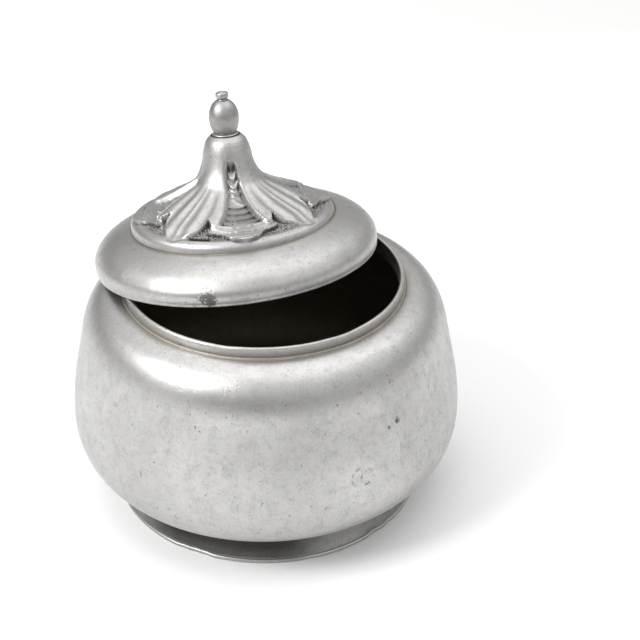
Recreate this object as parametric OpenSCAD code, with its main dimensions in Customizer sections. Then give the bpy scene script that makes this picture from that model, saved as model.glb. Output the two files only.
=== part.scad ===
// Lidded sugar bowl in satin pewter: a spun bowl on a foot ring, with an
// upstanding collar at its mouth, and a loose cap lid that carries a cast
// relief boss and a pinned finial. The lid is shown slid off centre and
// leaning on the collar. Millimetres, +Z up, origin on the table under the
// middle of the foot.

/* [Bowl] */
// Largest radius of the belly
belly_r = 61.8; // [50:0.1:80]
// Height of the belly's widest line above the table
belly_z = 29; // [24:0.5:40]
// Radius where the side turns into the shoulder
shoulder_r = 57.3; // [50:0.1:70]
// Height of the shoulder curve, from the side to its crest
shoulder_drop = 13.6; // [8:0.1:18]
// Height of the shoulder's crest above the table
body_h = 71.5; // [58:0.1:90]
// Thickness of the spun bowl
bowl_wall = 1.4; // [0.8:0.1:2.5]

/* [Mouth collar] */
// Clear radius of the mouth
mouth_r = 42; // [33:0.1:48]
// Height of the collar above the shoulder
collar_h = 3.5; // [2.5:0.1:8]
// Thickness of the collar
collar_wall = 1.4; // [0.8:0.1:2]
// How far the collar's seat reaches out over the shoulder
collar_seat = 0.7; // [0.3:0.1:2]
// Thickness of the collar's seat
collar_seat_t = 0.5; // [0.3:0.1:1.5]

/* [Foot ring] */
// Outside radius of the foot at the table
foot_r = 49.3; // [40:0.1:56]
// Outside radius of the foot where it meets the bowl
foot_top_r = 47.4; // [38:0.1:54]
// Height of the foot ring
foot_h = 11; // [7:0.1:16]
// Thickness of the foot ring
foot_wall = 1.2; // [0.8:0.1:2.5]
// Height of the bead along the foot's lower edge
foot_bead_h = 1.4; // [0.8:0.1:3]

/* [Lid] */
// Gap between the lid's inside and the collar when the lid is on straight
lid_fit = 0.2; // [0.1:0.05:1]
// Thickness of the spun lid
lid_wall = 1.0; // [0.8:0.1:2]
// Height of the lid's rolled edge, up to the boss
lid_h = 11.85; // [8:0.05:18]
// How far the rolled edge bulges past the lid's lower lip
lid_bulge = 0.4; // [0:0.1:2]
// Height of the lip along the lid's lower edge
lid_lip_h = 1.0; // [0.5:0.1:2]

/* [Relief boss] */
// Radius of the boss where it is soldered to the lid
boss_r = 32.1; // [26:0.1:36]
// Height of the boss above its seat on the lid
boss_h = 27.5; // [22:0.1:40]
// Height of the boss's rounded rim
boss_rim_h = 2.7; // [1.5:0.1:4]
// Width of the boss's rounded rim
boss_rim_w = 2.4; // [1.5:0.1:4]
// Radius of the neck where the flare ends
neck_r = 8.0; // [6.5:0.1:11]
// Height of the neck where the flare ends
neck_z = 18.7; // [15:0.1:24]
// Radius of the flat top that the finial stands on
neck_top_r = 4.4; // [3.6:0.1:6]
// Thickness of the casting
boss_wall = 1.8; // [1:0.1:3]
// Number of leaves that hang from the neck
leaf_count = 4; // [3:1:8]
// Angle that one leaf spans
leaf_angle = 62; // [20:1:80]
// Thickness of a leaf over the ground of the boss
leaf_t = 0.9; // [0.4:0.1:2]
// Direction of the first leaf's middle line
leaf_dir = 54; // [0:1:359]
// Length of the slit in the casting
slit_len = 6.2; // [2:0.1:10]
// Width of the slit in the casting
slit_w = 0.9; // [0.5:0.1:2]
// Distance of the slit from the edge of the boss
slit_in = 4.1; // [3:0.1:8]
// Direction of the slit
slit_dir = 252; // [0:1:359]
// How far the boss was soldered out of true with the lid
boss_lean = 1.7; // [0:0.1:3]
// Direction in which the boss leans on the lid
boss_lean_dir = 0; // [0:1:359]

/* [Finial] */
// Largest radius of the finial bead
bead_r = 4.65; // [3.5:0.05:6]
// Height of the finial bead
bead_h = 10.6; // [8:0.1:14]
// Radius of the bead where it stands on the neck
bead_foot_r = 3.2; // [2.5:0.05:4]
// Radius of the bead under the pin's head
bead_top_r = 1.9; // [1.5:0.05:2.6]
// Radius of the round head of the finial pin
pin_head_r = 2.0; // [1.5:0.05:3]
// Height of the round head of the finial pin
pin_head_h = 2.7; // [1.5:0.05:4]
// Radius of the pin's shank
pin_r = 0.8; // [0.5:0.05:1.2]
// Gap around the shank in its holes
pin_fit = 0.05; // [0.02:0.01:0.2]

/* [Place of the lid] */
// Distance the lid has slid off the middle of the mouth
lid_slide = 17.3; // [8:0.1:24]
// Direction in which the lid has slid and dropped
lid_dir = 119; // [0:1:359]
// Steepest lean of the lid
lean_limit = 10.2; // [2:0.1:14]
// Gap between the lid and what it leans on
rest_gap = 0.3; // [0.2:0.05:1]

/* [Hidden] */
$fn = 96;

// Gap that the solder fills between two pieces of one assembly
solder_gap = 0.05;
pewter = [0.72, 0.71, 0.69];
cast_pewter = [0.66, 0.65, 0.63];

collar_out_r = mouth_r + collar_wall;
collar_top = body_h + collar_h;
shell_mouth_r = collar_out_r + solder_gap;
lid_in_r = collar_out_r + lid_fit;
lid_lip_r = lid_in_r + lid_wall;

// Points of an ellipse's arc about the centre c, from angle a to angle b
function arc(c, rx, ry, a, b, n) =
    [for (i = [0:n]) c + [rx * cos(a + (b - a) * i / n), ry * sin(a + (b - a) * i / n)]];

// Points of a cubic curve, without its first point
function curve(p, n) =
    [for (i = [1:n]) let (t = i / n, s = 1 - t)
        s * s * s * p[0] + 3 * s * s * t * p[1] + 3 * s * t * t * p[2] + t * t * t * p[3]];

// Unit normal on the right-hand side of an outline at its point i
function side_normal(p, i) =
    let (a = p[max(i - 1, 0)], b = p[min(i + 1, len(p) - 1)], d = (b - a) / norm(b - a))
    [d[1], -d[0]];

// An outline moved by t to its left
function inset(p, t) = [for (i = [0:len(p) - 1]) p[i] - t * side_normal(p, i)];

function reversed(p) = [for (i = [len(p) - 1:-1:0]) p[i]];

// The bowl's outside, from the foot's seat round the belly and the shoulder
// to the edge of the mouth hole. The handles of the curves keep the side
// leaning inward a little and swell the shoulder's crest.
shoulder_z = body_h - shoulder_drop;
side_h = shoulder_z - belly_z;
side_handle = 1.3;
shoulder_handle = [1.4, shoulder_drop * 0.55];
crest_handle = [5, 0.9];
shoulder_line = curve([[shoulder_r, shoulder_z],
                       [shoulder_r - shoulder_handle[0], shoulder_z + shoulder_handle[1]],
                       [shoulder_r - crest_handle[0], body_h + crest_handle[1]],
                       [shell_mouth_r, body_h]], 12);
belly_line = arc([foot_top_r, belly_z], belly_r - foot_top_r, belly_z - foot_h, -90, 0, 12);
side_line = curve([[belly_r, belly_z],
                   [belly_r, belly_z + side_h * 0.4],
                   [shoulder_r + side_handle, shoulder_z - side_h * 0.25],
                   [shoulder_r, shoulder_z]], 8);
bowl_line = concat(belly_line, side_line, shoulder_line);
last = len(bowl_line) - 1;

module bowl_shell() {
    inner = inset(bowl_line, bowl_wall);
    color(pewter)
        rotate_extrude()
            polygon(concat(
                [[0, foot_h]], bowl_line,
                [[shell_mouth_r, body_h - bowl_wall]],
                reversed([for (i = [1:last - 1]) inner[i]]),
                [[foot_top_r, foot_h + bowl_wall], [0, foot_h + bowl_wall]]));
}

module mouth_collar() {
    lip_r = collar_wall / 2;
    seat_z = body_h + solder_gap;
    color(pewter)
        rotate_extrude()
            polygon(concat(
                [[mouth_r, body_h - bowl_wall], [collar_out_r, body_h - bowl_wall],
                 [collar_out_r, seat_z], [collar_out_r + collar_seat, seat_z],
                 [collar_out_r + collar_seat * 0.6, seat_z + collar_seat_t],
                 [collar_out_r, seat_z + collar_seat_t]],
                arc([mouth_r + lip_r, collar_top - lip_r], lip_r, lip_r, 0, 180, 10)));
}

module foot_ring() {
    foot_top = foot_h - solder_gap;
    bead_r = foot_bead_h / 2;
    wall_line = curve([[foot_r - bead_r, foot_bead_h],
                       [foot_top_r + 0.4, foot_bead_h + foot_h * 0.25],
                       [foot_top_r, foot_h * 0.6],
                       [foot_top_r, foot_top]], 8);
    inner = inset(wall_line, foot_wall);
    color(pewter)
        rotate_extrude()
            polygon(concat(
                [[foot_r - 2 * bead_r - foot_wall * 0.4, 0]],
                arc([foot_r - bead_r, bead_r], bead_r, bead_r, -90, 90, 10),
                wall_line,
                [[foot_top_r - foot_wall, foot_top]],
                reversed([for (i = [0:len(inner) - 2]) inner[i]])));
}

// Clearance over the shoulder of the lid's lower edge at the angle a round
// it, when the lid leans by the angle t
function cross_x() = (pow(lid_slide, 2) + pow(collar_out_r, 2) - pow(lid_in_r, 2)) / (2 * lid_slide);
function edge_centre_z(t) = collar_top + rest_gap - (lid_slide - cross_x()) * tan(t);
shoulder_table = [for (i = [len(shoulder_line) - 1:-1:0]) shoulder_line[i]];
function edge_gap(t, a) =
    let (x = lid_slide + lid_lip_r * cos(a) * cos(t), y = lid_lip_r * sin(a), r = norm([x, y]))
    r < collar_out_r || r > shoulder_r
        ? body_h
        : edge_centre_z(t) - lid_lip_r * cos(a) * sin(t) - lookup(r, shoulder_table);
function least_gap(t) = min([for (a = [0:4:180]) edge_gap(t, a)]);
// The lean at which the lid's edge stops over the shoulder, by halving
function rest_lean(low, high, n) =
    n == 0 ? low
    : let (mid = (low + high) / 2)
      least_gap(mid) > rest_gap ? rest_lean(mid, high, n - 1) : rest_lean(low, mid, n - 1);
lid_lean = least_gap(lean_limit) > rest_gap ? lean_limit : rest_lean(0, lean_limit, 12);
lid_z = edge_centre_z(lid_lean);

// The pieces of the lid are drawn with the lid flat and its lower edge at
// zero, and this puts them where the lid lies
module on_lid() {
    translate([lid_slide * cos(lid_dir), lid_slide * sin(lid_dir), lid_z])
        rotate(lid_lean, [-sin(lid_dir), cos(lid_dir), 0])
            children();
}

// The lid is upright and a little bulged up to the turn of its roll, and
// sweeps in from there to the boss
module lid_shell() {
    bulge_r = lid_lip_r + lid_bulge;
    bulge_z = lid_h * 0.28;
    roll_w = bulge_r - boss_r;
    lip_r = lid_wall / 2;
    turn = [bulge_r - roll_w * 0.085, lid_h * 0.48];
    lip_line = arc([lid_lip_r - lip_r, lip_r], lip_r, lip_r, -90, 0, 4);
    roll_line = concat(
        [[lid_lip_r, lid_lip_h]],
        curve([[lid_lip_r, lid_lip_h],
               [bulge_r - 0.1, bulge_z * 0.7],
               [bulge_r + 0.1, bulge_z * 1.2],
               turn], 5),
        curve([turn,
               [bulge_r - roll_w * 0.25, lid_h * 0.78],
               [boss_r + roll_w * 0.46, lid_h * 0.9],
               [boss_r, lid_h]], 9));
    inner = inset(roll_line, lid_wall);
    top = len(roll_line) - 1;
    color(pewter)
        on_lid()
            rotate_extrude()
                polygon(concat(
                    lip_line, roll_line, [[0, lid_h], [0, lid_h - lid_wall]],
                    [[boss_r, lid_h - lid_wall]],
                    reversed([for (i = [1:top - 1]) inner[i]]),
                    [[lid_in_r, lid_lip_h], [lid_in_r, lip_r]]));
}

// The pieces of the boss and the finial are drawn upright on a seat at zero,
// and this puts them on the lid, out of true as they were soldered
module on_seat() {
    on_lid()
        translate([0, 0, lid_h + solder_gap])
            children();
}
module leaning() {
    rotate(boss_lean, [-sin(boss_lean_dir), cos(boss_lean_dir), 0])
        children();
}

// The boss's outside: from the rim up the flare to the neck's flat top
boss_flare = curve([[boss_r - boss_rim_w, boss_rim_h],
                    [boss_r * 0.7, neck_z * 0.33],
                    [neck_r * 1.35, neck_z * 0.52],
                    [neck_r, neck_z]], 12);
boss_neck = curve([[neck_r, neck_z],
                   [neck_r - 0.7, neck_z + (boss_h - neck_z) * 0.45],
                   [neck_r - 1.1, boss_h - 0.8],
                   [neck_top_r, boss_h]], 7);

module boss_leaf() {
    leaf_line = [for (i = [1:len(boss_flare) - 1]) boss_flare[i]];
    proud = inset(leaf_line, -leaf_t);
    sunk = inset(leaf_line, boss_wall / 2);
    rotate(-leaf_angle / 2)
        rotate_extrude(angle = leaf_angle)
            polygon(concat(proud, reversed(sunk)));
}

// The boss is drawn deeper than its seat by a skirt and cut off level there,
// so that it meets the lid all round although it leans
module relief_boss() {
    under = 0.5;
    skirt = boss_r * sin(boss_lean) + under;
    rim_line = arc([boss_r - boss_rim_w, 0], boss_rim_w, boss_rim_h, 0, 90, 6);
    hollow = [for (p = inset(boss_flare, boss_wall)) if (p[1] > under) p];
    color(cast_pewter)
        on_seat()
            difference() {
                leaning()
                    difference() {
                        union() {
                            rotate_extrude()
                                polygon(concat([[0, -skirt], [boss_r, -skirt]],
                                               rim_line, boss_flare, boss_neck, [[0, boss_h]]));
                            for (i = [0:leaf_count - 1])
                                rotate(leaf_dir + i * 360 / leaf_count)
                                    boss_leaf();
                        }
                        rotate_extrude()
                            polygon(concat([[0, -2 * skirt], [hollow[0][0], -2 * skirt]],
                                           hollow, [[0, neck_z]]));
                        cylinder(r = pin_r + pin_fit, h = boss_h + 1);
                        rotate(slit_dir)
                            translate([boss_r - slit_in - slit_w, -slit_len / 2, 0])
                                cube([slit_w, slit_len, boss_h]);
                    }
                translate([0, 0, -4 * skirt])
                    cylinder(r = boss_r * 1.2, h = 4 * skirt);
            }
}

finial_z = boss_h + solder_gap;

module finial_bead() {
    wide_z = bead_h * 0.49;
    foot_angle = -acos(bead_foot_r / bead_r);
    top_angle = acos(bead_top_r / bead_r);
    color(cast_pewter)
        on_seat() leaning()
            translate([0, 0, finial_z])
                difference() {
                    rotate_extrude()
                        polygon(concat(
                            [[0, 0]],
                            arc([0, wide_z], bead_r, -wide_z / sin(foot_angle), foot_angle, 0, 8),
                            arc([0, wide_z], bead_r, (bead_h - wide_z) / sin(top_angle),
                                top_angle / 9, top_angle, 8),
                            [[0, bead_h]]));
                    translate([0, 0, -1])
                        cylinder(r = pin_r + pin_fit, h = bead_h + 2);
                }
}

module finial_pin() {
    head_z = bead_h + solder_gap;
    shank_len = head_z + boss_h - neck_z;
    waist_h = pin_head_h * 0.15;
    ball_h = pin_head_h - waist_h;
    color(cast_pewter)
        on_seat() leaning()
            translate([0, 0, finial_z + head_z])
                rotate_extrude()
                    polygon(concat(
                        [[0, -shank_len], [pin_r, -shank_len], [pin_r, 0], [bead_top_r * 0.85, 0]],
                        arc([0, waist_h + ball_h * 0.45], pin_head_r, ball_h * 0.45, -50, 0, 5),
                        arc([0, waist_h + ball_h * 0.45], pin_head_r, ball_h * 0.55, 12, 90, 7)));
}

bowl_shell();
mouth_collar();
foot_ring();
lid_shell();
relief_boss();
finial_bead();
finial_pin();
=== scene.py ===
# %% [markdown]
# # A lidded sugar bowl in worn pewter
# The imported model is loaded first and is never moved. Every piece made here
# is in metres in the same frame: +Z is up, the table is at zero, and the
# middle of the foot ring is at the origin. The bowl and its collar and foot
# are one body, and the loose lid with its boss and finial is the other.

# %% Load the frame
import math

import bpy
from mathutils import Matrix, Vector, noise


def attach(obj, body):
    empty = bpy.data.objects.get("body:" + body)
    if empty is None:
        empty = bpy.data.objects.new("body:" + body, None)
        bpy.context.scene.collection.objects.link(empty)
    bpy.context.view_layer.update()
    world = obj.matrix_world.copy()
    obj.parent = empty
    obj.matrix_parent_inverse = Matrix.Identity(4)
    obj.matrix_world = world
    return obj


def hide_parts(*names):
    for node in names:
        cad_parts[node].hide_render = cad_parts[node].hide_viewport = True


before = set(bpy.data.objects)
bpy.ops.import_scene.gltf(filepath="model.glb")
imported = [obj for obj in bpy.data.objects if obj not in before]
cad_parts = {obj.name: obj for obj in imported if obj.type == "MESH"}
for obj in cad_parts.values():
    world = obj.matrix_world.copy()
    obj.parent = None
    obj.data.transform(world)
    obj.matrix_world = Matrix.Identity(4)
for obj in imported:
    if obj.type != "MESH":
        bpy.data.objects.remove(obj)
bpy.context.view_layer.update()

MM = 0.001

# %% [markdown]
# ## The camera
# The bowl is seen from a little over 30 degrees above the table, with a long
# lens from half a metre away, so it keeps its real proportions. The camera
# aims beside the bowl, which leaves open table on the right. An eye point
# and an aim point are easier to read than three turning angles.

# %% The camera
LENS_MM, SENSOR_MM = 84.4, 36
eye = Vector((0.0, -402.2, 307.5)) * MM
aim = Vector((17.3, 0.0, 57.3)) * MM
camera_data = bpy.data.cameras.new("studio_camera")
camera_data.lens = LENS_MM
camera_data.sensor_width = SENSOR_MM
camera = bpy.data.objects.new("studio_camera", camera_data)
bpy.context.collection.objects.link(camera)
camera.location = eye
camera.rotation_euler = (aim - eye).to_track_quat("-Z", "Y").to_euler()
bpy.context.scene.camera = camera
print("eye to aim:", round((aim - eye).length, 4), "m")

# %% [markdown]
# ## Outlines
# A spinner shapes this metal over a chuck, so each piece is one outline
# turned round an axis. An outline is a list of points (radius, height) in
# millimetres. Two small helpers draw the smooth parts: an arc, and a cubic
# curve that is pulled by two handles.

# %% Outline helpers
def arc(centre, rx, ry, start, end, count):
    """Points of an ellipse's arc, from one angle to another in degrees."""
    angles = [math.radians(start + (end - start) * i / count) for i in range(count + 1)]
    return [(centre[0] + rx * math.cos(a), centre[1] + ry * math.sin(a)) for a in angles]


def curve(ends, count):
    """Points of a cubic curve through four control points, without its first."""
    made = []
    for i in range(1, count + 1):
        t = i / count
        weights = ((1 - t) ** 3, 3 * (1 - t) ** 2 * t, 3 * (1 - t) * t * t, t ** 3)
        made.append(tuple(sum(w * p[k] for w, p in zip(weights, ends)) for k in (0, 1)))
    return made


def line(a, b, count):
    """Points of a straight line, without its first."""
    return [(a[0] + (b[0] - a[0]) * i / count, a[1] + (b[1] - a[1]) * i / count)
            for i in range(1, count + 1)]


def inset(outline, distance):
    """The outline moved to its left, as the inner face of a wall."""
    made = []
    for i, p in enumerate(outline):
        a, b = outline[max(i - 1, 0)], outline[min(i + 1, len(outline) - 1)]
        along = Vector((b[0] - a[0], b[1] - a[1])).normalized()
        made.append((p[0] - along.y * distance, p[1] + along.x * distance))
    return made


def evenly(outline, count):
    """The same outline with points at even distances along it."""
    lengths = [0.0]
    for a, b in zip(outline, outline[1:]):
        lengths.append(lengths[-1] + math.dist(a, b))
    made, k = [], 0
    for i in range(count + 1):
        s = lengths[-1] * i / count
        while k < len(outline) - 2 and lengths[k + 1] < s:
            k += 1
        t = (s - lengths[k]) / max(lengths[k + 1] - lengths[k], 1e-9)
        made.append((outline[k][0] + (outline[k + 1][0] - outline[k][0]) * t,
                     outline[k][1] + (outline[k + 1][1] - outline[k][1]) * t))
    return made


def smoothstep(low, high, x):
    """Rises softly from 0 at low to 1 at high."""
    t = min(max((x - low) / (high - low), 0.0), 1.0)
    return t * t * (3 - 2 * t)


def table(points, x):
    """Looks x up in a list of (x, y) points, with straight lines between."""
    if x <= points[0][0]:
        return points[0][1]
    for a, b in zip(points, points[1:]):
        if x <= b[0]:
            return a[1] + (b[1] - a[1]) * (x - a[0]) / (b[0] - a[0])
    return points[-1][1]


# %% [markdown]
# ## Turning an outline
# To turn a piece by hand, a plane is added, its corners are merged into one
# vertex, and the vertex is extruded from point to point until the outline is
# drawn. Spin then carries the outline once round the axis. The seam and the
# poles are merged, and the faces are pointed outwards.

# %% The turning helper
WELD = 2e-6


def nothing_selected():
    """Starts each step with an empty selection."""
    bpy.ops.object.select_all(action="DESELECT")


def turned(name, outline, steps):
    """A new piece: an outline in millimetres, spun once round the upright axis."""
    nothing_selected()
    bpy.ops.mesh.primitive_plane_add(size=MM, location=(0, 0, 0))
    piece = bpy.context.object
    piece.name = piece.data.name = name
    bpy.ops.object.mode_set(mode="EDIT")
    bpy.ops.mesh.select_mode(type="VERT")
    bpy.ops.mesh.merge(type="CENTER")
    bpy.ops.transform.translate(value=(outline[0][0] * MM, 0, outline[0][1] * MM))
    for a, b in zip(outline, outline[1:]):
        step = ((b[0] - a[0]) * MM, 0, (b[1] - a[1]) * MM)
        bpy.ops.mesh.extrude_region_move(TRANSFORM_OT_translate={"value": step})
    bpy.ops.mesh.select_all(action="SELECT")
    bpy.ops.mesh.spin(steps=steps, angle=2 * math.pi, center=(0, 0, 0), axis=(0, 0, 1),
                      use_auto_merge=False)
    bpy.ops.mesh.select_all(action="SELECT")
    bpy.ops.mesh.remove_doubles(threshold=WELD)
    bpy.ops.mesh.normals_make_consistent(inside=False)
    bpy.ops.mesh.select_all(action="DESELECT")
    bpy.ops.object.mode_set(mode="OBJECT")
    return piece


def applied(piece, kind, name, **settings):
    """Adds one modifier to a piece, sets it and applies it."""
    nothing_selected()
    bpy.context.view_layer.objects.active = piece
    piece.select_set(True)
    modifier = piece.modifiers.new(name, kind)
    for key, value in settings.items():
        setattr(modifier, key, value)
    bpy.ops.object.modifier_apply(modifier=modifier.name)


def report(piece):
    """Prints a piece's size and triangles."""
    size = [round(c / MM, 1) for c in piece.dimensions]
    triangles = sum(len(p.vertices) - 2 for p in piece.data.polygons)
    print(f"{piece.name}: {size} mm, {triangles} triangles")


# %% [markdown]
# ## The spun bowl
# The bowl swells from its foot to a wide belly, leans in a little up to the
# shoulder, and rounds over to an almost flat crest where the collar stands.
# Its wall is one thickness all over, so the inside is the outside moved in.
# It could be a subdivided cage too, but the outline gives exact curves.

# %% The bowl's outline
BELLY_R, BELLY_Z = 61.8, 29.0
SHOULDER_R, SHOULDER_Z = 57.3, 57.9
BODY_H, BOWL_WALL = 71.5, 1.4
FOOT_H, FOOT_TOP_R = 11.0, 47.4
MOUTH_R, COLLAR_OUT_R, COLLAR_TOP = 42.0, 43.4, 75.0
SOLDER_GAP = 0.05
TURN_STEPS = 256
side_h = SHOULDER_Z - BELLY_Z
shoulder_h = BODY_H - SHOULDER_Z

belly = arc((FOOT_TOP_R, BELLY_Z), BELLY_R - FOOT_TOP_R, BELLY_Z - FOOT_H, -90, 0, 30)
side = curve([(BELLY_R, BELLY_Z), (BELLY_R, BELLY_Z + side_h * 0.4),
              (SHOULDER_R + 1.3, SHOULDER_Z - side_h * 0.25), (SHOULDER_R, SHOULDER_Z)], 24)
shoulder = curve([(SHOULDER_R, SHOULDER_Z), (SHOULDER_R - 1.4, SHOULDER_Z + shoulder_h * 0.55),
                  (SHOULDER_R - 5, BODY_H + 0.9), (COLLAR_OUT_R + SOLDER_GAP, BODY_H)], 30)
outside = belly + side + shoulder
inside = inset(outside, BOWL_WALL)[::-1]
bowl_outline = ([(0, FOOT_H)] + line((0, FOOT_H), outside[0], 12) + outside[1:]
                + [(COLLAR_OUT_R + SOLDER_GAP, BODY_H - BOWL_WALL)] + inside[1:-1]
                + line(inside[-1], (0, FOOT_H + BOWL_WALL), 10))
print("bowl outline:", len(bowl_outline), "points")

# %% [markdown]
# ## The spun bowl, turned
# A fine step keeps the belly round in the highlights. The wall, the floor and
# the hole for the collar all come from the one closed outline.

# %% Turn the bowl
bowl = turned("bowl_spun", bowl_outline, TURN_STEPS)
report(bowl)

# %% [markdown]
# ## Wear in the metal
# Soft metal that was used for a century is never quite true. Its reflections
# wander because the surface does, so a smooth cloud pattern moves it in and
# out by a tenth of a millimetre, and a few shallow dents are pressed in with
# a soft falloff, as a knock would do it.

# %% Waviness and dents
def wavy(piece, depth, spread):
    """Moves a surface in and out by a soft cloud pattern, depth in millimetres."""
    pattern = bpy.data.textures.new(piece.name + "_waves", "CLOUDS")
    pattern.noise_scale = spread * MM
    pattern.noise_depth = 1
    applied(piece, "DISPLACE", "waves", texture=pattern, texture_coords="LOCAL",
            strength=2 * depth * MM, mid_level=0.5)


def dent(piece, place, depth, width, direction=None):
    """Presses a soft dent at a place, sizes in millimetres."""
    place = Vector(place) * MM
    inward = Vector(direction or (-place.x, -place.y, 0)).normalized()
    for v in piece.data.vertices:
        far = (v.co - place).length / (width * MM)
        if far < 1:
            v.co += inward * depth * MM * (1 - far * far) ** 2


def paint_tarnish_and_shade(piece, rule):
    """Writes how dark each point is painted, as tarnish and as painted shade, from its radius and
    height in millimetres.
    """
    amounts = [rule(math.hypot(v.co.x, v.co.y) / MM, v.co.z / MM, v) for v in piece.data.vertices]
    # The attribute holds tarnish together with painted shade, for the material to darken by.
    piece.data.attributes.new("tarnish_and_painted_shade", "FLOAT", "POINT").data.foreach_set("value", amounts)


def looks_in(v, centre_z):
    """True on an inner wall, where tarnish is never rubbed off and shade falls, so it is painted
    dark.
    """
    return v.normal.dot(v.co - Vector((0, 0, centre_z * MM))) < 0


BOWL_MIDDLE = 40


def bowl_tarnish_and_shade(r, z, v):
    """Full inside the bowl, as tarnish and painted shade, and some outside, as painted shade next
    to the collar and the foot.
    """
    if looks_in(v, BOWL_MIDDLE):
        return 1.0
    # Painted shade in the crease round the collar, and under the belly next to the foot.
    by_collar = 0.6 * (1 - smoothstep(44.0, 46.5, r)) * (z > 60)
    return max(by_collar, 0.5 * (1 - smoothstep(48, 52, r)) * (z < 20))


paint_tarnish_and_shade(bowl, bowl_tarnish_and_shade)
wavy(bowl, 0.055, 22)
for place, depth, width in [((10, -61, 34), 0.25, 12), ((-34, -51, 28), 0.2, 14),
                            ((42, -44, 40), 0.25, 9), ((24, -56, 25), 0.2, 6),
                            ((-55, -18, 50), 0.3, 14), ((58, 6, 48), 0.35, 13),
                            ((-20, 58, 36), 0.4, 15), ((40, 45, 30), 0.35, 12)]:
    dent(bowl, place, depth, width)
report(bowl)

# %% [markdown]
# ## Keeping shading crisp where the metal is
# Smooth shading hides the facets of a turned piece, but it would also blur a
# real corner such as the edge of the foot. Shading smooth by angle keeps the
# corners sharp and the curves smooth.

# %% Finish a piece
CORNER_ANGLE = 40


def finished(piece, body, slot, *nodes):
    """Smooth shading, the body it rides on, and what it stands for. The slot, its finish, is not
    used.
    """
    nothing_selected()
    bpy.context.view_layer.objects.active = piece
    piece.select_set(True)
    bpy.ops.object.shade_smooth_by_angle(angle=math.radians(CORNER_ANGLE))
    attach(piece, body)
    if nodes:
        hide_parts(*nodes)
    report(piece)
    return piece


finished(bowl, "bowl", "spun_pewter", "bowl_shell")

# %% [markdown]
# ## The collar
# A short upright band is soldered into the mouth to guide the lid. Its lip is
# rounded over, and a thin seat lies on the shoulder round its foot. It is
# turned from a closed outline, so it is solid metal with no open edge.

# %% The collar
COLLAR_WALL, SEAT_W, SEAT_T = 1.4, 0.7, 0.5
seat_z = BODY_H + SOLDER_GAP
lip_r = COLLAR_WALL / 2
collar_outline = (
    [(MOUTH_R, BODY_H - BOWL_WALL), (COLLAR_OUT_R, BODY_H - BOWL_WALL), (COLLAR_OUT_R, seat_z)]
    + line((COLLAR_OUT_R, seat_z), (COLLAR_OUT_R + SEAT_W, seat_z), 2)
    + arc((COLLAR_OUT_R + SEAT_W * 0.45, seat_z), SEAT_W * 0.55, SEAT_T, 20, 90, 6)
    + [(COLLAR_OUT_R, seat_z + SEAT_T * 1.02)]
    + line((COLLAR_OUT_R, seat_z + SEAT_T), (COLLAR_OUT_R, COLLAR_TOP - lip_r), 5)
    + arc((MOUTH_R + lip_r, COLLAR_TOP - lip_r), lip_r, lip_r, 0, 180, 14)[1:]
    + line((MOUTH_R, COLLAR_TOP - lip_r), (MOUTH_R, BODY_H - BOWL_WALL), 5))
collar = turned("collar_band", collar_outline, TURN_STEPS)
# An even tarnish on the collar, and painted shade low on it, in the crease where it meets the
# shoulder.
paint_tarnish_and_shade(collar, lambda r, z, v: 0.12 + 0.5 * (1 - smoothstep(72.0, 73.4, z)))
wavy(collar, 0.03, 14)
dent(collar, (-12, -42, 75), 0.25, 5, (0, 0.3, -1))
dent(collar, (23, -36, 75), 0.2, 6, (0, 0, -1))
finished(collar, "bowl", "spun_pewter", "mouth_collar")

# %% [markdown]
# ## The foot ring
# The bowl stands on a low ring, a little wider at the table, with a bead
# along its lower edge. The bead has taken knocks: it is flattened and nicked
# in a few places, most of all at the front left and the right.

# %% The foot ring
FOOT_R, FOOT_WALL, BEAD_H = 49.3, 1.2, 1.4
foot_top = FOOT_H - SOLDER_GAP
bead = BEAD_H / 2
wall = curve([(FOOT_R - bead, BEAD_H), (FOOT_TOP_R + 0.4, BEAD_H + FOOT_H * 0.25),
              (FOOT_TOP_R, FOOT_H * 0.6), (FOOT_TOP_R, foot_top)], 16)
wall_inside = inset(wall, FOOT_WALL)[::-1]
foot_edge_in = (FOOT_R - 2 * bead - FOOT_WALL * 0.4, 0)
foot_outline = ([foot_edge_in] + arc((FOOT_R - bead, bead), bead, bead, -90, 90, 12) + wall
                + [(FOOT_TOP_R - FOOT_WALL, foot_top)] + wall_inside[1:] + [foot_edge_in])
foot = turned("foot_band", foot_outline, TURN_STEPS)


def foot_painted_shade(r, z, v):
    """Painted shade on the foot's wall under the belly's overhang, most of all at its front left,
    and none on its bead.
    """
    azimuth = math.degrees(math.atan2(v.co.y, v.co.x))
    # The patch at the front left is the darkest painted shade.
    patch = smoothstep(-165, -125, azimuth) * (1 - smoothstep(-88, -58, azimuth))
    return smoothstep(0.9, 2.0, z) * (0.25 + 0.55 * patch + 0.15 * smoothstep(2, 6, z))


paint_tarnish_and_shade(foot, foot_painted_shade)
wavy(foot, 0.06, 12)
for angle, depth, width in [(-118, 0.55, 4.0), (-114, 0.4, 2.2), (-123, 0.35, 2.6),
                            (-48, 0.5, 3.6), (-40, 0.35, 2.4), (-76, 0.2, 2.5),
                            (35, 0.4, 3.0), (160, 0.4, 3.5), (-160, 0.3, 2.5)]:
    a = math.radians(angle)
    dent(foot, (FOOT_R * math.cos(a), FOOT_R * math.sin(a), bead), depth, width)
low = min(v.co.z for v in foot.data.vertices)
for v in foot.data.vertices:
    v.co.z = max(v.co.z, 0.0)
finished(foot, "bowl", "spun_pewter", "foot_ring")
print("lowest point before it was set on the table:", round(low / MM, 3), "mm")

# %% [markdown]
# ## Where the lid lies
# The lid has slid off the mouth to the back left and dropped there, so it
# leans on the collar. Its pieces are modelled flat, with the lid's lower edge
# at zero, because a tilted piece is hard to turn. Each finished piece is then
# carried to its place, and the place is applied to its mesh.

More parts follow.
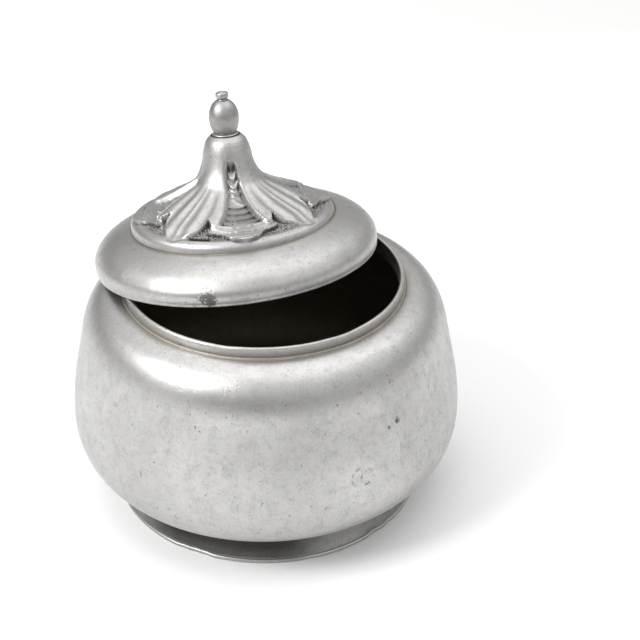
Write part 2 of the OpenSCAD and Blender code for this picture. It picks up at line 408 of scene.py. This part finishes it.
# %% The lid's place
LID_SLIDE, LID_DIR, LID_Z, LID_LEAN = 17.3, 119.0, 73.653, 10.2
LID_H = 11.85
direction = math.radians(LID_DIR)
slid = Vector((LID_SLIDE * math.cos(direction), LID_SLIDE * math.sin(direction), LID_Z)) * MM
lean_axis = Vector((-math.sin(direction), math.cos(direction), 0))
on_lid = Matrix.Translation(slid) @ Matrix.Rotation(math.radians(LID_LEAN), 4, lean_axis)
BOSS_LEAN = 1.7
on_seat = on_lid @ Matrix.Translation((0, 0, (LID_H + SOLDER_GAP) * MM))
leaning = Matrix.Rotation(math.radians(BOSS_LEAN), 4, "Y")


def placed(piece, place):
    """Carries a finished piece to its place and applies the place to its mesh."""
    nothing_selected()
    bpy.context.view_layer.objects.active = piece
    piece.select_set(True)
    piece.matrix_world = place
    bpy.ops.object.transform_apply(location=True, rotation=True, scale=True)


# %% [markdown]
# ## The lid
# The cap lid is spun from one disc: a thin lip along its lower edge, a fat
# half-round roll, and a flat top that the boss covers. It is hollow below, so
# its outline goes up the outside and back down the inside.

# %% The lid
LID_WALL, LIP_H, BULGE = 1.0, 1.0, 0.4
BOSS_R = 32.1
LID_MIDDLE = -6
lid_in_r = COLLAR_OUT_R + 0.2
lid_lip_r = lid_in_r + LID_WALL
bulge_r = lid_lip_r + BULGE
bulge_z = LID_H * 0.28
roll_w = bulge_r - BOSS_R
half = LID_WALL / 2
turn = (bulge_r - roll_w * 0.085, LID_H * 0.48)
lip = arc((lid_lip_r - half, half), half, half, -90, 0, 6)
roll = ([(lid_lip_r, LIP_H)]
        + curve([(lid_lip_r, LIP_H), (bulge_r - 0.1, bulge_z * 0.7),
                 (bulge_r + 0.1, bulge_z * 1.2), turn], 16)
        + curve([turn, (bulge_r - roll_w * 0.25, LID_H * 0.78),
                 (BOSS_R + roll_w * 0.46, LID_H * 0.9), (BOSS_R, LID_H)], 26))
under = inset(roll, LID_WALL)[::-1]
lid_outline = (lip + roll + line(roll[-1], (0, LID_H), 8) + [(0, LID_H - LID_WALL)]
               + line((0, LID_H - LID_WALL), (BOSS_R, LID_H - LID_WALL), 8)
               + under[1:-1] + [(lid_in_r, LIP_H), (lid_in_r, half), lip[0]])
lid = turned("lid_spun", lid_outline, TURN_STEPS)
# Tarnish and painted shade under the lid, and painted shade on top in the crease round the boss.
paint_tarnish_and_shade(lid, lambda r, z, v:
       0.95 if looks_in(v, LID_MIDDLE) else 0.55 * (1 - smoothstep(32.5, 34, r)))
wavy(lid, 0.06, 18)
dent(lid, (8, -44.5, 4), 0.3, 7)
dent(lid, (-30, -33, 6), 0.25, 8)
dent(lid, (36, -27, 5), 0.25, 7)
placed(lid, on_lid)
finished(lid, "lid", "spun_pewter", "lid_shell")

# %% [markdown]
# ## The relief boss: its turned ground
# The boss is cast, with four ribbed leaves that hang from a neck like a
# gathered cloth, and a jointed stem in the recess between each two. It could
# be sculpted freely, but a formula keeps the four sides alike. So it starts
# as a dense turned shape, from the hollow under it, round the rim and up the
# flare to the neck, and the relief is raised on it in the next step.

# %% The boss's turned ground
NECK_TOP = (4.4, 27.5)
crest = [(32.1, 0), (32.0, 1.4), (31.3, 2.5), (30, 3.3), (28, 4.6), (25, 6.1), (22, 7.4),
         (20, 8.3), (18, 9.2), (16, 10.2), (14, 11.2), (12.2, 12.3), (11, 13.2), (10.2, 14.3),
         (9.2, 16.2), (8.4, 18.4), (7.7, 21), (7.1, 23.6), (6.2, 26), NECK_TOP]


def rounded(outline, passes):
    """Cuts the corners of an outline again and again, until it is a curve."""
    for _ in range(passes):
        cut = [outline[0]]
        for a, b in zip(outline, outline[1:]):
            cut += [tuple(a[k] * w + b[k] * (1 - w) for k in (0, 1)) for w in (0.75, 0.25)]
        outline = cut + [outline[-1]]
    return outline


SKIRT, HOLLOW_R = 1.5, 29.9
FLARE_POINTS, BOSS_STEPS = 170, 440
SLIT_R, SLIT_DIR, SLIT_HALF = (28.55, 29.65), 251.5, 6.4
flare = evenly(rounded(crest, 3), FLARE_POINTS)
hollow = [(0, 9.5), (9, 9.5), (13, 7.8), (18, 5.6), (24, 2.9), (SLIT_R[0] - 0.1, 1.35),
          (SLIT_R[1] + 0.1, 0.85), (HOLLOW_R, -SKIRT)]
boss_outline = (hollow + line((HOLLOW_R, -SKIRT), (BOSS_R, -SKIRT), 2)
                + line((BOSS_R, -SKIRT), flare[0], 3) + flare[1:] + [(0, NECK_TOP[1])])
boss = turned("boss_relief", boss_outline, BOSS_STEPS)
report(boss)

# %% [markdown]
# ## The relief boss: leaves, stems and petals
# The relief is worked out as a height over every point of the boss, from how
# far the point is from the nearest stem, in degrees, and from the axis, in
# millimetres. Each leaf reaches the rim with its middle lobe and has a notch
# on each side. The stem lies sunk between two leaves, in short joints like a
# scaled stalk, and opens into a lobed petal. The ground between them is
# rough.

# %% The relief's outlines
STEMS = (-81, 9, 99, 189)
FLUTES = 2.6
stem_half = [(7.4, 8), (8.5, 10), (10, 9.5), (15, 9.5), (18, 10.5), (20, 11.5), (24, 15), (26, 17)]
petal_half = [(22.3, 13), (24, 20), (25.5, 24), (26.6, 24.5), (27.3, 21), (27.7, 14),
              (28.2, 11.5), (29.2, 10), (30.2, 7), (31, 1)]
leaf_reach = [(0, 31.1), (3, 30.9), (6, 30.0), (9, 28.9), (13, 27.4), (16, 25.6), (18, 23.6),
              (19.2, 22.2), (20.4, 23.6), (23, 25.3), (27, 25.9), (31, 25.6), (34, 24.8)]
ground_depth = [(7.7, 0), (8.2, 0.9), (8.8, 1.4), (10, 1.7), (14, 1.9), (20, 2.1), (25, 1.9),
                (27.5, 1.6), (28.8, 1.2), (30.2, 0.2), (31.2, 0)]
flute_depth = [(10, 0.0), (13, 0.15), (17, 0.3), (22, 0.36), (28, 0.4), (31, 0.1)]
knots = (9.1, 10.4, 12.1)
joints = (12.6, 17.4, 19.7, 21.9, 23.9, 25.6, 27.4, 29.6, 32.5)


# %% [markdown]
# ## The relief boss: one height for each point
# Ground, stem, petal and leaf each have a height of their own. They are laid
# over each other in that order, with soft edges, as they overlap on the
# casting. The leaf's right edge is rolled up, and its left edge lies flat.

# %% The relief's height
def relief(azimuth, r):
    """Height over the leaves' crests in millimetres, and how much of it is bare ground."""
    off = min(((azimuth - s + 180) % 360 - 180 for s in STEMS), key=abs)
    across, width = abs(off), table(stem_half, r)
    to_mid = 45 - across
    soft = 17 / r
    edge = (across - width) * math.radians(r)
    depth = table(ground_depth, r)

    here = Vector((r * math.cos(math.radians(azimuth)), r * math.sin(math.radians(azimuth)), 0))
    rough = noise.noise(here * 1.6) + 0.6 * noise.noise(here * 3.4)
    ground = -depth + 0.22 * rough * smoothstep(20, 24, r) * (1 - smoothstep(28.5, 30, r))

    bowed = r + 1.1 * (across / width) ** 2
    swell = next(((bowed - a) / (b - a) for a, b in zip(joints, joints[1:]) if a <= bowed < b), 0)
    stem = -depth * 0.8 + 0.62 * swell ** 1.6
    stem -= 0.45 * (across / width) ** 2 * smoothstep(7.9, 8.8, r)
    stem += sum(0.6 * math.exp(-((bowed - 0.4 - knot) / 0.34) ** 2) for knot in knots)
    stem -= 0.9 * math.exp(-((r - 8.4) / 0.5) ** 2)
    on_band = smoothstep(12.8, 13.6, r) * (1 - smoothstep(15.6, 16.6, r))
    stem += 0.3 * on_band * math.exp(-((off + 5 - 3 * (r - 13.2)) / 3.5) ** 2)
    in_stem = (1 - smoothstep(width - soft, width + soft, across)) * (1 - smoothstep(25.5, 27, r))
    height = ground + (stem - ground) * in_stem

    petal_w = table(petal_half, r)
    petal = -depth + 1.2 + 0.25 * swell - 0.3 * (across / 24) ** 2
    petal += 0.16 * math.cos(math.radians(off * 15)) * smoothstep(25, 27, r)
    in_petal = (1 - smoothstep(petal_w - soft, petal_w + soft, across)) * smoothstep(23, 24.6, r)
    in_petal *= 1 - smoothstep(30.5, 31.2, r)
    height += (max(petal, height) - height) * in_petal

    fan = to_mid / (45 - width)
    open_out = smoothstep(8, 11, r)
    lobe = 0.5 - 0.5 * math.cos(2 * math.pi * (FLUTES * fan + 0.25))
    lobe *= 1 - smoothstep(0.6, 0.8, fan)
    leaf = -table(flute_depth, r) * lobe - 0.3 * open_out * max(fan, 0) ** 4
    leaf += 0.3 * math.exp(-((fan - 0.78) / 0.16) ** 2) * smoothstep(10, 14, r)
    if off > 0:
        leaf += 0.35 * math.exp(-((edge - 0.7) / 0.42) ** 2) * smoothstep(9, 12, r)
        in_leaf = smoothstep(-0.3, 0.5, edge)
    else:
        in_leaf = smoothstep(-0.4, 1.5, edge)
    reach = table(leaf_reach, to_mid)
    leaf += 0.12 * math.exp(-((r - reach + 1.2) / 0.6) ** 2) - 0.7 * smoothstep(25, 30.5, r)
    in_leaf *= 1 - smoothstep(reach - 0.9, reach + 0.5, r)
    bare = (1 - in_stem) * (1 - in_petal) * (1 - in_leaf) * smoothstep(21, 23.5, r)
    return height + (leaf - height) * in_leaf, bare * (1 - smoothstep(29.2, 30.2, r))


# %% [markdown]
# ## The relief boss: raised
# Every vertex of the ground is moved along its normal by the relief's height.
# A sculptor's brush would do the same by eye. A point that lies lower than what is round it is
# darkened, as tarnish and as painted shade in the recess, and the bare ground is stippled, so both
# are kept as attributes for the material. The slit's walls, the neck's top and the hollow below
# are painted fully dark, as shade. The hollow below gets no relief.

# %% Raise the relief
height_at = sorted(crest)
REACH, SLIT_EDGE = 0.8, 0.15
FLAT_R, FLAT_Z, INNER_DROP = 4.6, 0.2, 0.9
raised = []
for v in boss.data.vertices:
    r, z = math.hypot(v.co.x, v.co.y) / MM, v.co.z / MM
    # Below, and on the neck's top under the finial, there is no relief, and all but the outer
    # skirt is painted dark as shade.
    if r < FLAT_R or z < FLAT_Z or z < table(height_at, r) - INNER_DROP:
        raised.append((0, float(r < BOSS_R - 1), 0))
        continue
    azimuth = math.degrees(math.atan2(v.co.y, v.co.x))
    turn_by = math.degrees(REACH / r)
    here, bare = relief(azimuth, r)
    nearer = max(r - REACH, NECK_TOP[0])
    around = (relief(azimuth + turn_by, r)[0] + relief(azimuth - turn_by, r)[0]
              + relief(azimuth, r + REACH)[0] + relief(azimuth, nearer)[0]) / 4
    # Lying lower than the points round it, or deep in the ground, darkens a point: tarnish and
    # painted shade in the recess.
    hollowness = 0.3 * smoothstep(1.0, 2.2, -here) + (around - here)
    # The slit's walls are painted fully dark, as the shade inside the slit.
    by_slit = (SLIT_R[0] - SLIT_EDGE < r < SLIT_R[1] + SLIT_EDGE
               and abs(azimuth % 360 - SLIT_DIR) < SLIT_HALF + 0.5)
    raised.append((here, 1.0 if by_slit else min(max(hollowness, 0), 1), bare))
moved = [v.co + v.normal * h[0] * MM for v, h in zip(boss.data.vertices, raised)]
boss.data.vertices.foreach_set("co", [c for co in moved for c in co])
for k, name in ((1, "tarnish_and_painted_shade"), (2, "stipple")):
    layer = boss.data.attributes.new(name, "FLOAT", "POINT")
    layer.data.foreach_set("value", [h[k] for h in raised])
print("relief from", round(min(h[0] for h in raised), 2), "to",
      round(max(h[0] for h in raised), 2), "mm")

# %% [markdown]
# ## The slit
# A short slit goes right through the casting near the front of its rim. The
# faces over it and under it are selected by their place and deleted, and the
# two open loops are bridged, which makes the slit's walls. A boolean cut is
# the other way, but it is not safe on a mesh as dense as this one.

# %% Helpers to select by place
def edited(piece, mode):
    """Opens a piece for editing, with nothing in it selected."""
    nothing_selected()
    bpy.context.view_layer.objects.active = piece
    piece.select_set(True)
    bpy.ops.object.mode_set(mode="EDIT")
    bpy.ops.mesh.select_mode(type=mode)
    bpy.ops.mesh.select_all(action="DESELECT")


def bridged_open_edges():
    """Bridges the two open loops of the piece that is being edited."""
    bpy.ops.mesh.select_mode(type="EDGE")
    bpy.ops.mesh.select_all(action="DESELECT")
    bpy.ops.mesh.select_non_manifold(extend=False, use_wire=False, use_multi_face=False,
                                     use_non_contiguous=False, use_verts=False)
    bpy.ops.mesh.bridge_edge_loops()
    bpy.ops.mesh.select_all(action="DESELECT")


# %% Cut the slit
edited(boss, "FACE")
bpy.ops.object.mode_set(mode="OBJECT")
for face in boss.data.polygons:
    r = math.hypot(face.center.x, face.center.y) / MM
    azimuth = math.degrees(math.atan2(face.center.y, face.center.x)) % 360
    face.select = SLIT_R[0] < r < SLIT_R[1] and abs(azimuth - SLIT_DIR) < SLIT_HALF
print("faces over and under the slit:", sum(f.select for f in boss.data.polygons))
bpy.ops.object.mode_set(mode="EDIT")
bpy.ops.mesh.delete(type="FACE")
bridged_open_edges()
bpy.ops.object.mode_set(mode="OBJECT")

# %% [markdown]
# ## The boss on its seat
# The boss was soldered on a little out of true, so it is tilted first. Bisect
# then trims its skirt level with the lid, and the two open rings that the cut
# leaves are bridged into the flat seat.

# %% Tilt the boss and trim its skirt
placed(boss, leaning)
edited(boss, "VERT")
bpy.ops.mesh.select_all(action="SELECT")
bpy.ops.mesh.bisect(plane_co=(0, 0, 0), plane_no=(0, 0, 1), clear_inner=True)
bridged_open_edges()
bpy.ops.mesh.select_all(action="SELECT")
bpy.ops.mesh.normals_make_consistent(inside=False)
bpy.ops.mesh.select_all(action="DESELECT")
bpy.ops.object.mode_set(mode="OBJECT")
placed(boss, on_seat)
finished(boss, "lid", "cast_pewter", "relief_boss")

# %% [markdown]
# ## The finial
# A small egg-shaped bead stands on the neck, held by a pin whose round button
# head sits on top. Both are turned pieces, and the pin's shank runs down
# through the bead, as the real one has to.

# %% The bead and the pin
BEAD_R, BEAD_H, BEAD_FOOT_R, BEAD_TOP_R = 4.65, 10.6, 3.2, 1.9
PIN_HEAD_R, PIN_HEAD_H, PIN_R, PIN_FIT = 2.0, 2.7, 0.8, 0.05
finial_z = NECK_TOP[1] + SOLDER_GAP
wide_z = BEAD_H * 0.49
foot_angle = -math.degrees(math.acos(BEAD_FOOT_R / BEAD_R))
top_angle = math.degrees(math.acos(BEAD_TOP_R / BEAD_R))
bore = PIN_R + PIN_FIT
egg = (arc((0, wide_z), BEAD_R, -wide_z / math.sin(math.radians(foot_angle)), foot_angle, 0, 16)
       + arc((0, wide_z), BEAD_R, (BEAD_H - wide_z) / math.sin(math.radians(top_angle)),
             0, top_angle, 18)[1:])
bead_outline = ([(bore, 0), (BEAD_FOOT_R - 0.3, 0), (BEAD_FOOT_R, 0.12)] + egg[1:]
                + [(BEAD_TOP_R - 0.25, BEAD_H), (bore, BEAD_H), (bore, 0)])
finial = turned("finial_egg", [(r, h + finial_z) for r, h in bead_outline], 96)
wavy(finial, 0.05, 4)
placed(finial, leaning)
placed(finial, on_seat)
finished(finial, "lid", "cast_pewter", "finial_bead")

head_z = BEAD_H + SOLDER_GAP
waist = PIN_HEAD_H * 0.15
ROUND = 0.75
shank = head_z + NECK_TOP[1] - 18.7
pin_outline = ([(0, -shank), (PIN_R - 0.2, -shank), (PIN_R, -shank + 0.2), (PIN_R, 0),
                (BEAD_TOP_R * 0.85, 0), (BEAD_TOP_R * 0.8, waist * 0.7)]
               + arc((PIN_HEAD_R - ROUND, waist + ROUND * 0.8), ROUND, ROUND * 0.8, -90, 0, 8)
               + arc((PIN_HEAD_R - ROUND, PIN_HEAD_H - ROUND * 1.3), ROUND, ROUND * 0.9, 0, 60, 8)
               + arc((0, PIN_HEAD_H - ROUND), PIN_HEAD_R - ROUND * 0.9, ROUND, 50, 90, 8))
pin = turned("finial_pin_headed", [(r, h + finial_z + head_z) for r, h in pin_outline], 64)
placed(pin, leaning)
placed(pin, on_seat)
finished(pin, "lid", "cast_pewter", "finial_pin")

# %% [markdown]
# ## Solder seams
# The boss, the collar and the foot are soldered on, and the solder shows as a
# thin uneven line of its own, duller and browner than the pewter. A brighter
# line runs round the foot of the finial. Each seam is a thin turned bead that
# is made uneven by a cloud pattern.

# %% The seams
def seam(name, radius, height, wide, high, body, place=Matrix()):
    """A thin bead of solder round a joint, sizes in millimetres."""
    outline = arc((radius, height), wide, high, 0, 360, 10)
    ring = turned(name, outline, TURN_STEPS)
    wavy(ring, 0.06, 3)
    placed(ring, place)
    return finished(ring, body, "cast_pewter")


boss_seam = seam("solder_boss", BOSS_R + 0.05, LID_H - 0.05, 0.45, 0.3, "lid", on_lid)
collar_seam = seam("solder_collar", COLLAR_OUT_R + 0.55, BODY_H + 0.02, 0.35, 0.22, "bowl")
foot_seam = seam("solder_foot", FOOT_TOP_R + 0.05, FOOT_H - 0.1, 0.3, 0.3, "bowl")
neck_seam = seam("solder_neck", BEAD_FOOT_R + 0.3, finial_z + 0.05, 0.6, 0.35, "lid",
                 on_seat @ leaning)

# %% [markdown]
# ## The pewter's finish
# Old pewter is a soft grey metal: the light spreads on it, so its roughness
# is middling and uneven. It has cloudy tarnish, fine scratches in every
# direction, and small dark pits. All of it is made from noise on the piece's
# own coordinates, so it looks the same from all sides. A small helper adds a
# node and sets or links its sockets in one call.

# %% A helper for nodes
def node(tree, kind, sockets=(), **settings):
    """Adds a node, sets its settings, and fills its sockets with values or links."""
    made = tree.nodes.new("ShaderNode" + kind)
    for key, value in settings.items():
        setattr(made, key, value)
    for key, value in dict(sockets).items():
        if isinstance(value, bpy.types.NodeSocket):
            tree.links.new(value, made.inputs[key])
        else:
            made.inputs[key].default_value = value
    return made


def remap(tree, value, low, high, to_low=0.0, to_high=1.0):
    """A value between low and high, carried softly to between to_low and to_high."""
    made = node(tree, "MapRange", {"Value": value, "From Min": low, "From Max": high,
                                   "To Min": to_low, "To Max": to_high},
                interpolation_type="SMOOTHSTEP")
    return made.outputs["Result"]


def sum_of(tree, *values):
    """The values added up."""
    total = values[0]
    for value in values[1:]:
        total = node(tree, "Math", {0: total, 1: value}, operation="ADD").outputs[0]
    return total


def product(tree, a, b):
    """Two values multiplied."""
    return node(tree, "Math", {0: a, 1: b}, operation="MULTIPLY").outputs[0]


# %% [markdown]
# ## Layers of wear
# Each kind of wear is a value from 0 to 1 over the surface. Clouds are slow noise. A scratch is
# where stretched noise crosses one level, which gives thin lines; three directions are laid over
# each other and broken up. A pit is the middle of a cell, in only a few of the cells. Blotches and
# ring marks are given one by one, because the real ones are where something happened.

# %% Clouds, scratches and pits
def clouds(tree, place, scale, detail=5.0, rough=0.6):
    """Slow noise from 0 to 1."""
    return node(tree, "TexNoise", {"Vector": place, "Scale": scale, "Detail": detail,
                                   "Roughness": rough}).outputs["Fac"]


def scratches(tree, place, scale, thin):
    """Fine lines in three directions."""
    layers = []
    for angles in ((0.3, 0.5, 0.2), (1.2, -0.4, 0.9), (-0.7, 1.1, 2.1)):
        laid = node(tree, "Mapping", {"Vector": place, "Rotation": angles,
                                      "Scale": (1.0, 1.0, 0.06)}).outputs["Vector"]
        grain = clouds(tree, laid, scale, 1.0, 0.4)
        away = node(tree, "Math", {0: grain, 1: 0.5}, operation="SUBTRACT").outputs[0]
        away = node(tree, "Math", {0: away}, operation="ABSOLUTE").outputs[0]
        mask = remap(tree, clouds(tree, laid, scale * 0.3, 2.0), 0.5, 0.62)
        layers.append(product(tree, remap(tree, away, 0.0, thin, 1.0, 0.0), mask))
    return sum_of(tree, *layers)


def pits(tree, place, scale, size, share):
    """Small round pits in some of the cells of a scattered pattern."""
    cells = node(tree, "TexVoronoi", {"Vector": place, "Scale": scale})
    spot = remap(tree, cells.outputs["Distance"], 0.0, size, 1.0, 0.0)
    chance = node(tree, "SeparateColor", {"Color": cells.outputs["Color"]}).outputs["Red"]
    return product(tree, spot, remap(tree, chance, 1.0 - share, 1.02 - share))


def nicks(tree, place, scale):
    """Short dark strokes where something struck the metal, lying in two directions."""
    layers = []
    for turn_x, turn_z in ((0.5, 0.4), (-0.9, 1.7)):
        laid = node(tree, "Mapping", {"Vector": place, "Rotation": (turn_x, 0.3, turn_z),
                                      "Scale": (1.0, 1.0, 0.55)}).outputs["Vector"]
        layers.append(remap(tree, clouds(tree, laid, scale, 3.0, 0.55), 0.69, 0.73))
    return sum_of(tree, *layers)


def ring_marks(tree, place, marks):
    """Broken rings that a knock left, each a place and a radius in millimetres."""
    rings = 0.0
    for x, y, z, radius in marks:
        away = node(tree, "VectorMath", {0: place, 1: (x * MM, y * MM, z * MM)},
                    operation="DISTANCE").outputs["Value"]
        off_ring = node(tree, "Math", {0: away, 1: radius * MM}, operation="SUBTRACT").outputs[0]
        off_ring = node(tree, "Math", {0: off_ring}, operation="ABSOLUTE").outputs[0]
        ring = remap(tree, off_ring, 0.0, 0.0007, 1.0, 0.0)
        broken = remap(tree, clouds(tree, place, 300, 6.0, 0.7), 0.46, 0.56)
        rings = sum_of(tree, rings, product(tree, ring, broken))
    return rings


def blotches(tree, place, spots):
    """Dark corroded patches with ragged edges, each a place and a radius in millimetres."""
    dark = 0.0
    ragged = clouds(tree, place, 620, 6.0, 0.7)
    for x, y, z, radius in spots:
        away = node(tree, "VectorMath", {0: place, 1: (x * MM, y * MM, z * MM)},
                    operation="DISTANCE").outputs["Value"]
        near = remap(tree, away, 0.0, radius * MM, 0.28, 0.0)
        spot = remap(tree, sum_of(tree, near, ragged), 0.62, 0.72)
        dark = sum_of(tree, dark, product(tree, spot, remap(tree, near, 0.0, 0.06)))
    return dark


# %% [markdown]
# ## The five finishes
# The grey comes first, then the wear darkens it, then the tarnish and painted shade of the
# recesses, the insides, the creases and the foot, and last the pits. The same layers drive the
# roughness and a very shallow bump, so a mark looks and shines like one mark. The spun pieces are
# brightest, the casting and the finial are a little darker, the foot's wall is painted nearly
# black in places, as its shade under the belly, and the solder is dull and brown.

# %% The pewter material
WORN_GREY, PIT_BLACK = (0.17, 0.167, 0.162, 1), (0.05, 0.045, 0.04, 1)


def pewter(name, bright, dull, dark, smooth, rough, pit_share, marks=(), spots=()):
    """A worn pewter: two greys, a dark colour for tarnish and painted shade, a range of roughness,
    and its wear.
    """
    material = bpy.data.materials.new(name)
    material.use_nodes = True
    tree = material.node_tree
    tree.nodes.clear()
    place = node(tree, "TexCoord").outputs["Object"]
    slow = clouds(tree, place, 38)
    mottle = clouds(tree, place, 330, 8.0, 0.75)
    fine = clouds(tree, place, 1700, 4.0, 0.7)
    lines = scratches(tree, place, 420, 0.012)
    holes = sum_of(tree, product(tree, pits(tree, place, 330, 0.17, pit_share), 0.8),
                   pits(tree, place, 900, 0.22, pit_share),
                   product(tree, nicks(tree, place, 860), 0.6))
    stains = product(tree, remap(tree, clouds(tree, place, 120, 8.0, 0.72), 0.60, 0.70),
                     remap(tree, fine, 0.40, 0.62))

    grey = node(tree, "Mix", {"Factor": remap(tree, slow, 0.35, 0.65), "A": bright, "B": dull},
                data_type="RGBA").outputs["Result"]
    wear = sum_of(tree, remap(tree, mottle, 0.42, 0.75, 0.0, 0.30),
                  remap(tree, fine, 0.45, 0.75, 0.0, 0.26), product(tree, stains, 0.32),
                  product(tree, lines, 0.14), product(tree, ring_marks(tree, place, marks), 0.6),
                  product(tree, blotches(tree, place, spots), 0.9))
    worn = node(tree, "Mix", {"Factor": wear, "A": grey, "B": WORN_GREY},
                data_type="RGBA", clamp_factor=True).outputs["Result"]
    # The attribute's dark is tarnish and painted shade: in recesses, insides, creases and on the
    # foot.
    tarnish_and_shade_mask = node(tree, "Attribute", attribute_name="tarnish_and_painted_shade").outputs["Fac"]
    specks = node(tree, "Attribute", attribute_name="stipple").outputs["Fac"]
    dots = remap(tree, clouds(tree, place, 2300, 2.0, 0.5), 0.46, 0.60)
    specks = product(tree, specks, dots)
    tarnish_shade_and_specks = sum_of(tree, tarnish_and_shade_mask, specks)
    worn = node(tree, "Mix", {"Factor": tarnish_shade_and_specks, "A": worn, "B": dark},
                data_type="RGBA", clamp_factor=True).outputs["Result"]
    pitted = node(tree, "Mix", {"Factor": product(tree, holes, 0.8), "A": worn, "B": PIT_BLACK},
                  data_type="RGBA", clamp_factor=True).outputs["Result"]

    spread = sum_of(tree, remap(tree, slow, 0.3, 0.7, smooth, rough),
                    product(tree, sum_of(tree, wear, tarnish_shade_and_specks), 0.25), product(tree, lines, 0.08))
    heights = sum_of(tree, product(tree, mottle, 0.5), product(tree, fine, 0.25),
                     product(tree, lines, -0.5), product(tree, holes, -1.5),
                     product(tree, specks, -1.5))
    bump = node(tree, "Bump", {"Height": heights, "Strength": 0.35, "Distance": 0.00012})
    shader = node(tree, "BsdfPrincipled", {"Base Color": pitted, "Roughness": spread,
                                           "Metallic": 1.0, "Normal": bump.outputs["Normal"]})
    output = node(tree, "OutputMaterial")
    tree.links.new(shader.outputs["BSDF"], output.inputs["Surface"])
    return material


# %% [markdown]
# ## The finishes on the pieces
# The marks on the spun metal are in millimetres, in the frame of the bowl.

# %% Give every piece its finish
# The third colour of each finish paints its tarnish and its shade, where the attribute asks for
# it.
spun = pewter("spun_pewter_worn_and_shade_painted", (0.53, 0.525, 0.515, 1), (0.475, 0.47, 0.46, 1),
              (0.25, 0.215, 0.17, 1), 0.32, 0.42, 0.08,
              marks=((27, -54.5, 37, 3.2), (29, -54, 36.5, 2.2)),
              spots=((-17, -29, 82.5, 5.5), (38, -45, 50, 2.2), (35.5, -47, 49.2, 1.3),
                     (35, -42, 62.5, 2.6), (-46, 30, 40, 3), (20, 56, 46, 2.5)))
# The foot's near-black third colour is its painted shade under the belly.
foot_metal = pewter("foot_pewter_worn_and_shade_painted", (0.50, 0.495, 0.485, 1), (0.42, 0.415, 0.405, 1),
                    (0.035, 0.033, 0.03, 1), 0.28, 0.38, 0.10)
cast = pewter("cast_pewter_worn_and_shade_painted", (0.53, 0.525, 0.515, 1), (0.43, 0.425, 0.415, 1),
              (0.09, 0.08, 0.07, 1), 0.34, 0.46, 0.12)
handled = pewter("cast_pewter_handled", (0.45, 0.445, 0.435, 1), (0.31, 0.305, 0.30, 1),
                 (0.06, 0.052, 0.045, 1), 0.33, 0.45, 0.15)
soldered = pewter("solder_dull", (0.30, 0.27, 0.23, 1), (0.20, 0.18, 0.15, 1),
                  (0.08, 0.06, 0.045, 1), 0.45, 0.6, 0.2)
for material, pieces in ((spun, (bowl, collar, lid, neck_seam)), (foot_metal, (foot,)),
                         (cast, (boss,)), (handled, (finial, pin)),
                         (soldered, (boss_seam, collar_seam, foot_seam))):
    for piece in pieces:
        piece.data.materials.clear()
        piece.data.materials.append(material)
    print(material.name, "on", [piece.name for piece in pieces])

# %% [markdown]
# ## The sheet and the table
# The bowl stands on a white sheet that ends a little way behind it, on a
# table that is a touch greyer. Both are large, so that a low view from any
# side still sees a plain floor.

# %% Sheet and table
def plain(name, colour, roughness):
    """A plain matt finish with the faintest mottle, for the sheet and the table."""
    material = bpy.data.materials.new(name)
    material.use_nodes = True
    tree = material.node_tree
    shader = tree.nodes["Principled BSDF"]
    shader.inputs["Roughness"].default_value = roughness
    place = node(tree, "TexCoord").outputs["Object"]
    darker = tuple(c * 0.985 for c in colour[:3]) + (1,)
    mix = node(tree, "Mix", {"Factor": clouds(tree, place, 9), "A": colour, "B": darker},
               data_type="RGBA")
    tree.links.new(mix.outputs["Result"], shader.inputs["Base Color"])
    return material


TABLE_W, SHEET_DEEP, SHEET_END, TABLE_DROP = 12, 6, 0.392, 0.002
nothing_selected()
bpy.ops.mesh.primitive_plane_add(size=1, location=(0, 0, 0))
sheet = bpy.context.object
sheet.name = "table_sheet"
bpy.ops.object.mode_set(mode="EDIT")
bpy.ops.transform.resize(value=(TABLE_W, SHEET_DEEP, 1))
bpy.ops.transform.translate(value=(0, SHEET_END - SHEET_DEEP / 2, -0.00002))
bpy.ops.object.mode_set(mode="OBJECT")
sheet.data.materials.append(plain("white_sheet", (0.86, 0.86, 0.86, 1), 0.75))

nothing_selected()
bpy.ops.mesh.primitive_plane_add(size=TABLE_W, location=(0, 0, 0))
table_top = bpy.context.object
table_top.name = "table_top"
bpy.ops.object.mode_set(mode="EDIT")
bpy.ops.transform.translate(value=(0, 0, -TABLE_DROP))
bpy.ops.object.mode_set(mode="OBJECT")
table_top.data.materials.append(plain("pale_table", (0.70, 0.70, 0.695, 1), 0.9))

# %% [markdown]
# ## The light
# A soft light from the upper left makes the broad highlights and the soft
# shadow on the right, and a larger one above fills in. The sky is a pale even
# light that the metal mirrors everywhere else, darker near the horizon and a
# little brighter to the right.

# %% Lights
def soft_light(name, place, target, wide, high, power):
    """A rectangular soft light at a place, turned to a target, in metres and watts."""
    data = bpy.data.lights.new(name, "AREA")
    data.shape, data.size, data.size_y, data.energy = "RECTANGLE", wide, high, power
    light = bpy.data.objects.new(name, data)
    bpy.context.collection.objects.link(light)
    light.location = place
    light.rotation_euler = (Vector(target) - Vector(place)).to_track_quat("-Z", "Y").to_euler()
    return light


soft_light("key_light", (-0.76, -0.38, 0.80), (0, 0, 0.05), 0.44, 0.44, 10)
soft_light("top_light", (0.1, 0.25, 1.2), (0, 0, 0.05), 1.6, 1.4, 6.5)

sky = bpy.data.worlds.new("pale_studio")
sky.use_nodes = True
tree = sky.node_tree
way = node(tree, "SeparateXYZ", {"Vector": node(tree, "TexCoord").outputs["Generated"]})
glow = sum_of(tree, remap(tree, way.outputs["Z"], -0.05, 0.75, 0.12, 0.95),
              remap(tree, way.outputs["X"], 0.1, 0.8, 0.0, 0.25))
tree.links.new(glow, tree.nodes["Background"].inputs["Color"])
bpy.context.scene.world = sky
bpy.context.scene.view_settings.view_transform = "Standard"
